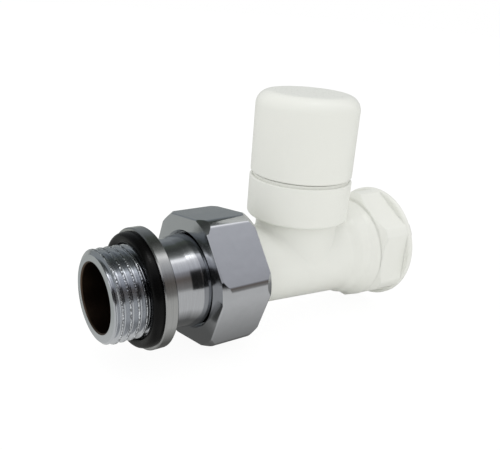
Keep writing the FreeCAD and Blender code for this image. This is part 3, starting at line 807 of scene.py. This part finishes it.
class VALVE_OT_union_nut(bpy.types.Operator):
    """Model the buffed union nut"""

    bl_idname = "valve.union_nut"
    bl_label = "Union nut"

    def execute(self, context):
        sizes = context.scene.valve_sizes
        front = nut_low.x
        back = nut_high.x
        corner = sizes.nut_across_flats / 2 / math.cos(HALF_FLAT)
        bpy.ops.object.select_all(action="DESELECT")
        bpy.ops.mesh.primitive_cylinder_add(
            vertices=6, radius=corner, depth=back - front, location=((front + back) / 2, 0, 0),
            rotation=(0, math.pi / 2, 0))
        nut = bpy.context.active_object
        nut.name = "buffed_union_nut"
        bpy.ops.object.transform_apply(location=True, rotation=True, scale=True)
        nut.data.transform(Matrix.Rotation(HALF_FLAT - sizes.nut_turn, 4, FLOW))
        bevel_edges(nut, sizes.nut_ridge_round * math.tan(HALF_FLAT), RIDGE_SEGMENTS,
                    lambda a, b: abs(a.x - b.x) > (back - front) / 2)
        bevel_edges(nut, sizes.nut_edge_break, EDGE_SEGMENTS,
                    lambda a, b: abs(a.x - b.x) < MERGE_DISTANCE)
        rise = sizes.nut_corner_cut * math.tan(sizes.nut_corner_lean)
        small = corner - sizes.nut_corner_cut
        apply_boolean(nut, turned("nut_turning", [
            (front, 0), (front, small), (front + rise, corner), (back - rise, corner),
            (back, small), (back, 0)], NUT_STEPS), "INTERSECT")
        lip = sizes.nut_lip
        hole = sizes.nut_hole
        edge = sizes.nut_edge_break
        apply_boolean(nut, turned("nut_bore", [
            (front - edge, 0), (front - edge, hole + 2 * edge), (front + edge, hole), (front + lip, hole),
            (front + lip, sizes.nut_thread), (back + lip, sizes.nut_thread), (back + lip, 0)],
            TURNED_STEPS), "DIFFERENCE")
        clean_cuts(nut)
        smooth(nut, NUT_CREASE)
        bpy.ops.object.modifier_add(type="WEIGHTED_NORMAL")
        modifier = nut.modifiers[-1]
        modifier.keep_sharp = True
        bpy.ops.object.modifier_apply(modifier=modifier.name)
        dress(nut, polished_chrome(context.scene.valve_colours))
        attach(nut, "swivel_nut")
        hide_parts("union_nut")
        return {"FINISHED"}


class VALVE_OT_forged_body(bpy.types.Operator):
    """Swell the body up to its hexagon, cut the inlet's thread and lacquer it"""

    bl_idname = "valve.forged_body"
    bl_label = "Forged body"

    def execute(self, context):
        sizes = context.scene.valve_sizes
        colours = context.scene.valve_colours
        body = copied_node("valve_body", "lacquered_body")
        hexagon_x = body_high.x - sizes.hexagon_reach
        shoulder_top = sizes.hexagon_flat - sizes.shoulder_drop / 2
        shoulder = []
        for step in range(SHOULDER_STEPS + 1):
            share = step / SHOULDER_STEPS
            swell = share * share * (3 - 2 * share)
            shoulder.append((hexagon_x - (1 - share) * sizes.shoulder_length,
                             shoulder_top - (1 - swell) * sizes.shoulder_rise))
        inside = sizes.thread_crest + BODY_WALL
        behind = hexagon_x + sizes.shoulder_length / 2
        outline = [(shoulder[0][0], inside)] + shoulder + [(behind, shoulder_top), (behind, inside)]
        apply_boolean(body, turned(
            "hexagon_shoulder", outline, TURNED_STEPS, centre=-sizes.shoulder_drop * UP), "UNION")
        corner = sizes.hexagon_flat + HEXAGON_CORNER
        clear = body_high.y * 2
        rim_x = body_high.x - RIM_DEPTH
        apply_boolean(body, turned("corner_tool", [
            (hexagon_x, clear), (hexagon_x, sizes.hexagon_flat), (hexagon_x + sizes.corner_slope, corner),
            (rim_x, corner), (rim_x, clear)], TURNED_STEPS), "DIFFERENCE")
        start_x = body_high.x + sizes.thread_pitch / 2 - INLET_TURNS * sizes.thread_pitch
        apply_boolean(body, thread_tool("inlet_tap", sizes, start_x, INLET_TURNS, True), "DIFFERENCE")
        clean_cuts(body)
        smooth(body, BODY_CREASE)
        tapped = turned_metal("tapped_brass", colours.brass, roughness=0.28, line_mm=0.4, line_depth=0.00002)
        dress(body, white_lacquer(colours), tapped)
        for face in body.data.polygons:
            radius, outward = radial(face)
            bored = outward < 0 and abs(face.normal.x) < FLAT_END
            if bored and radius < sizes.thread_crest and face.center.x > spindle_x:
                face.material_index = 1
        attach(body, "fixed_body")
        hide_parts("valve_body")
        return {"FINISHED"}


class VALVE_OT_mouldings(bpy.types.Operator):
    """Give the collar its rim, and finish it and the handwheel"""

    bl_idname = "valve.mouldings"
    bl_label = "White mouldings"

    def execute(self, context):
        sizes = context.scene.valve_sizes
        plastic = moulded_abs(context.scene.valve_colours)
        finish_nodes(("handwheel",), plastic)
        collar = copied_node("collar", "moulded_collar")
        outside = (collar_high.y - collar_low.y) / 2 - sizes.rim_inset
        inside = outside - sizes.rim_width
        foot = collar_high.z - sizes.rim_width
        top = wheel_low.z - sizes.rim_play
        apply_boolean(collar, turned(
            "collar_rim", [(foot, inside), (foot, outside), (top, outside), (top, inside)], TURNED_STEPS,
            axis=UP, side=FLOW, centre=spindle_x * FLOW), "UNION")
        clean_cuts(collar)
        smooth(collar, COLLAR_CREASE)
        dress(collar, plastic)
        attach(collar, "fixed_body")
        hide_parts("collar")
        return {"FINISHED"}


class VALVE_OT_seals(bpy.types.Operator):
    """Model the radiator's seal, and finish it, its carrier ring, the O-rings and the seat disc"""

    bl_idname = "valve.seals"
    bl_label = "Seals"

    def execute(self, context):
        sizes = context.scene.valve_sizes
        colours = context.scene.valve_colours
        finish_nodes(("seal_carrier",), turned_metal(
            "turned_nickel_plate", colours.nickel, roughness=0.2, line_mm=0.3, line_depth=0.000004))
        rubber = moulded_rubber(colours)
        finish_nodes((
            "union_o_ring", "bonnet_o_ring", "lower_spindle_o_ring", "upper_spindle_o_ring",
            "obturator_disc"), rubber)
        middle_x = (seal_low.x - sizes.seal_reach + seal_high.x) / 2
        half_width = seal_high.x - middle_x
        middle = (sizes.thread_crest + seal_high.z) / 2
        half_height = middle - sizes.thread_crest
        outline = []
        for step in range(SEAL_STEPS):
            turn = 2 * math.pi * step / SEAL_STEPS
            across = math.copysign(abs(math.cos(turn)) ** SEAL_SQUARENESS, math.cos(turn))
            outward = math.copysign(abs(math.sin(turn)) ** SEAL_SQUARENESS, math.sin(turn))
            outline.append((middle_x + across * half_width, middle + outward * half_height))
        seal = turned("radiator_seal", outline, TURNED_STEPS)
        smooth(seal, SEAL_CREASE)
        dress(seal, rubber)
        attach(seal, "fixed_body")
        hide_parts("radiator_o_ring")
        return {"FINISHED"}


class VALVE_OT_headwork(bpy.types.Operator):
    """Finish the headwork's pieces of brass, steel and plastic"""

    bl_idname = "valve.headwork"
    bl_label = "Headwork"

    def execute(self, context):
        colours = context.scene.valve_colours
        finish_nodes(("bonnet", "spindle", "plunger", "obturator_screw"), turned_metal(
            "turned_bare_brass", colours.brass, roughness=0.3, line_mm=0.4, line_depth=0.00001, axis=UP))
        finish_nodes(("spindle_clip", "hub_ring"), turned_metal(
            "spring_steel", colours.steel, roughness=0.35, line_mm=0.4, line_depth=0.00001, axis=UP))
        finish_nodes(("thrust_washer",), slippery_ptfe(colours))
        return {"FINISHED"}


def floor_finish():
    """Plain pale floor that stays white in the picture and keeps a faint shadow."""
    # Metal sees it as a glow of painted tones: a painted shadow strip under the valve, and paler painted
    # floor round it.
    material, tree, output = new_material("pale_floor")
    path = add_node(tree, "ShaderNodeLightPath")
    place = add_node(tree, "ShaderNodeTexCoord").outputs["Object"]
    parts = add_node(tree, "ShaderNodeSeparateXYZ", {"Vector": place})
    aside = add_node(tree, "ShaderNodeMath", {0: parts.outputs["Y"]}, operation="ABSOLUTE")
    beside = add_node(tree, "ShaderNodeMapRange", {
        "Value": aside.outputs["Value"], "From Min": SHADOW_STRIP_SIDES[0], "From Max": SHADOW_STRIP_SIDES[1]})
    before = add_node(tree, "ShaderNodeMapRange", {
        "Value": parts.outputs["X"], "From Min": SHADOW_STRIP_FRONT[0], "From Max": SHADOW_STRIP_FRONT[1]})
    unshadowed_floor = add_node(tree, "ShaderNodeMath", {
        0: beside.outputs["Result"], 1: before.outputs["Result"]}, operation="MAXIMUM")
    behind = add_node(tree, "ShaderNodeMapRange", {
        "Value": parts.outputs["Y"], "From Min": FLOOR_BACK[0], "From Max": FLOOR_BACK[1]})
    pale = add_node(tree, "ShaderNodeMix", {
        "Factor": behind.outputs["Result"], "A": opaque(linear(SIDE_TONE)),
        "B": opaque(linear(BACK_TONE))}, data_type="RGBA")
    # Painted reflection of the floor: the painted shadow strip blends out into the paler painted floor
    mirrored = add_node(tree, "ShaderNodeMix", {
        "Factor": unshadowed_floor.outputs["Value"], "A": opaque(linear(SHADOW_STRIP_TONE)),
        "B": pale.outputs["Result"]}, data_type="RGBA")
    paint = add_node(tree, "ShaderNodeBsdfDiffuse", {"Color": opaque(linear(FLOOR_PAINT))})
    # The painted tones glow for glossy rays only, so metal mirrors a lit floor with its shadow
    shade = add_node(tree, "ShaderNodeEmission", {"Color": mirrored.outputs["Result"], "Strength": 1.0})
    lit = add_node(tree, "ShaderNodeMixShader", {
        "Fac": path.outputs["Is Glossy Ray"], 1: paint.outputs["BSDF"], 2: shade.outputs["Emission"]})
    white = add_node(tree, "ShaderNodeEmission", {"Color": (1, 1, 1, 1), "Strength": WHITE_STRENGTH})
    share = add_node(tree, "ShaderNodeMath", {
        0: path.outputs["Is Camera Ray"], 1: WHITE_SHARE}, operation="MULTIPLY")
    mixed = add_node(tree, "ShaderNodeMixShader", {
        "Fac": share.outputs["Value"], 1: lit.outputs["Shader"], 2: white.outputs["Emission"]})
    tree.links.new(mixed.outputs["Shader"], output.inputs["Surface"])
    return material


def studio_finish():
    """Grey walls, a long soft light over the front and a dark screen, seen only in reflections."""
    # Light that a white surface has scattered meets one paler tone instead.
    material, tree, output = new_material("studio_walls")
    place = add_node(tree, "ShaderNodeTexCoord").outputs["Object"]
    parts = add_node(tree, "ShaderNodeSeparateXYZ", {"Vector": place})
    ahead = add_node(tree, "ShaderNodeMath", {0: parts.outputs["Y"], 1: -1.0}, operation="MULTIPLY")
    angle = add_node(tree, "ShaderNodeMath", {0: parts.outputs["Z"], 1: ahead.outputs["Value"]},
                     operation="ARCTAN2")
    first = STUDIO_TONES[0][0]
    last = STUDIO_TONES[-1][0]
    share = add_node(tree, "ShaderNodeMapRange", {
        "Value": angle.outputs["Value"], "From Min": math.radians(first), "From Max": math.radians(last)})
    ramp = add_node(tree, "ShaderNodeValToRGB", {"Fac": share.outputs["Result"]})
    stops = ramp.color_ramp.elements
    ramp.color_ramp.interpolation = "EASE"
    while len(stops) < len(STUDIO_TONES):
        stops.new(0.5)
    for stop, (degrees, tone) in zip(stops, STUDIO_TONES):
        stop.position = (degrees - first) / (last - first)
        stop.color = opaque(linear(tone))
    ahead_low = add_node(tree, "ShaderNodeMapRange", {
        "Value": angle.outputs["Value"], "From Min": SCREEN_ANGLES[0], "From Max": SCREEN_ANGLES[1]})
    leftwards = add_node(tree, "ShaderNodeMapRange", {
        "Value": parts.outputs["X"], "From Min": SCREEN_REACH[0], "From Max": SCREEN_REACH[1]})
    screen = add_node(tree, "ShaderNodeMath", {
        0: ahead_low.outputs["Result"], 1: leftwards.outputs["Result"]}, operation="MULTIPLY")
    seen = add_node(tree, "ShaderNodeMix", {
        "Factor": screen.outputs["Value"], "A": ramp.outputs["Color"], "B": opaque(linear(SCREEN_TONE))},
        data_type="RGBA")
    path = add_node(tree, "ShaderNodeLightPath")
    bounced = add_node(tree, "ShaderNodeMath", {
        0: path.outputs["Diffuse Depth"], 1: 0.5}, operation="GREATER_THAN")
    tone = add_node(tree, "ShaderNodeMix", {
        "Factor": bounced.outputs["Value"], "A": seen.outputs["Result"],
        "B": opaque(linear(SCATTERED_TONE))}, data_type="RGBA")
    glow = add_node(tree, "ShaderNodeEmission", {
        "Color": tone.outputs["Result"], "Strength": STUDIO_STRENGTH})
    tree.links.new(glow.outputs["Emission"], output.inputs["Surface"])
    return material


def light_world(ambient):
    """Even light all round, with a white background for the camera, metal and glass."""
    world = bpy.data.worlds.new("studio")
    bpy.context.scene.world = world
    world.use_nodes = True
    tree = world.node_tree
    tree.nodes.clear()
    path = add_node(tree, "ShaderNodeLightPath")
    seen = add_node(tree, "ShaderNodeMath", {
        0: path.outputs["Is Camera Ray"], 1: path.outputs["Is Glossy Ray"]}, operation="ADD")
    seen = add_node(tree, "ShaderNodeMath", {
        0: seen.outputs["Value"], 1: path.outputs["Is Transmission Ray"]}, operation="ADD", use_clamp=True)
    even = add_node(tree, "ShaderNodeBackground", {"Color": (1, 1, 1, 1), "Strength": ambient})
    white = add_node(tree, "ShaderNodeBackground", {"Color": (1, 1, 1, 1), "Strength": 1.0})
    mixed = add_node(tree, "ShaderNodeMixShader", {
        "Fac": seen.outputs["Value"], 1: even.outputs["Background"], 2: white.outputs["Background"]})
    add_node(tree, "ShaderNodeOutputWorld", {"Surface": mixed.outputs["Shader"]})


def hang_lamp(name, place, size, watts, glints):
    """Square lamp aimed at the valve, which either lights it softly or only glints in it."""
    lamp = bpy.data.lights.new(name, "AREA")
    lamp.size = size
    lamp.energy = watts
    obj = bpy.data.objects.new(name, lamp)
    bpy.context.scene.collection.objects.link(obj)
    aim = Vector((spindle_x / 2, 0, 0)) - place
    obj.location = place
    obj.rotation_euler = aim.to_track_quat("-Z", "Y").to_euler()
    obj.visible_camera = False
    obj.visible_glossy = glints
    obj.visible_diffuse = not glints


def place_camera(stage):
    """Camera at the photograph's angle."""
    flat = Vector((math.sin(stage.azimuth), -math.cos(stage.azimuth), 0))
    back = flat * math.cos(stage.elevation) + Vector((0, 0, math.sin(stage.elevation)))
    level = Vector((math.cos(stage.azimuth), math.sin(stage.azimuth), 0))
    upright = back.cross(level)
    right = level * math.cos(stage.roll) + upright * math.sin(stage.roll)
    up = upright * math.cos(stage.roll) - level * math.sin(stage.roll)
    data = bpy.data.cameras.new("camera")
    data.sensor_width = SENSOR_WIDTH_MM
    data.lens = stage.focal_pixels / IMAGE_WIDTH * SENSOR_WIDTH_MM
    data.shift_x = (IMAGE_WIDTH / 2 - stage.centre_pixels[0]) / IMAGE_WIDTH
    data.shift_y = (stage.centre_pixels[1] - IMAGE_HEIGHT / 2) / IMAGE_WIDTH
    data.clip_start = 0.01
    camera = bpy.data.objects.new("camera", data)
    bpy.context.scene.collection.objects.link(camera)
    turn = Matrix((right, up, back)).transposed()
    camera.matrix_world = Matrix.LocRotScale(
        Vector(stage.target) + back * stage.distance, turn, None)
    bpy.context.scene.camera = camera


class VALVE_OT_stage(bpy.types.Operator):
    """Set the floor, the light and the camera"""

    bl_idname = "valve.stage"
    bl_label = "Stage"

    def execute(self, context):
        stage = context.scene.valve_stage
        context.scene.view_settings.view_transform = "Standard"
        bpy.ops.object.select_all(action="DESELECT")
        bpy.ops.mesh.primitive_plane_add(size=FLOOR_SIZE, location=(0, 0, cad_low.z - FLOOR_GAP))
        floor = bpy.context.active_object
        floor.name = "floor"
        floor.data.materials.append(floor_finish())
        bpy.ops.mesh.primitive_cylinder_add(
            vertices=WALLS_STEPS, radius=WALLS_RADIUS, depth=WALLS_LENGTH, rotation=(0, math.pi / 2, 0))
        bpy.ops.object.transform_apply(location=False, rotation=True, scale=False)
        walls = bpy.context.active_object
        walls.name = "studio_walls"
        walls.data.materials.append(studio_finish())
        walls.visible_camera = False
        walls.visible_diffuse = False
        walls.visible_shadow = False
        walls.visible_transmission = False
        light_world(stage.ambient)
        for name, place, size, power, glints in LAMPS:
            hang_lamp(name, Vector(place), size, getattr(stage, power), glints)
        place_camera(stage)
        return {"FINISHED"}


OPERATORS = (
    VALVE_OT_threaded_tail, VALVE_OT_union_nut, VALVE_OT_forged_body, VALVE_OT_mouldings,
    VALVE_OT_seals, VALVE_OT_headwork, VALVE_OT_stage)


class VALVE_PT_sidebar(bpy.types.Panel):
    """The valve's pieces and their sizes"""

    bl_idname = "VALVE_PT_sidebar"
    bl_label = "Radiator valve"
    bl_space_type = "VIEW_3D"
    bl_region_type = "UI"
    bl_category = "Valve"

    def draw(self, context):
        for operator in OPERATORS:
            self.layout.operator(operator.bl_idname)
        for group in (context.scene.valve_sizes, context.scene.valve_colours, context.scene.valve_stage):
            box = self.layout.box()
            for name in group.__annotations__:
                box.prop(group, name)


CLASSES = (ValveSizes, ValveColours, ValveStage) + OPERATORS + (VALVE_PT_sidebar,)


def register():
    for kind in CLASSES:
        bpy.utils.register_class(kind)
    bpy.types.Scene.valve_sizes = bpy.props.PointerProperty(type=ValveSizes)
    bpy.types.Scene.valve_colours = bpy.props.PointerProperty(type=ValveColours)
    bpy.types.Scene.valve_stage = bpy.props.PointerProperty(type=ValveStage)


def unregister():
    del bpy.types.Scene.valve_stage
    del bpy.types.Scene.valve_colours
    del bpy.types.Scene.valve_sizes
    for kind in reversed(CLASSES):
        bpy.utils.unregister_class(kind)


def main():
    """Build every piece in order."""
    register()
    bpy.ops.valve.threaded_tail()
    bpy.ops.valve.union_nut()
    bpy.ops.valve.forged_body()
    bpy.ops.valve.mouldings()
    bpy.ops.valve.seals()
    bpy.ops.valve.headwork()
    bpy.ops.valve.stage()


if __name__ == "__main__":
    main()
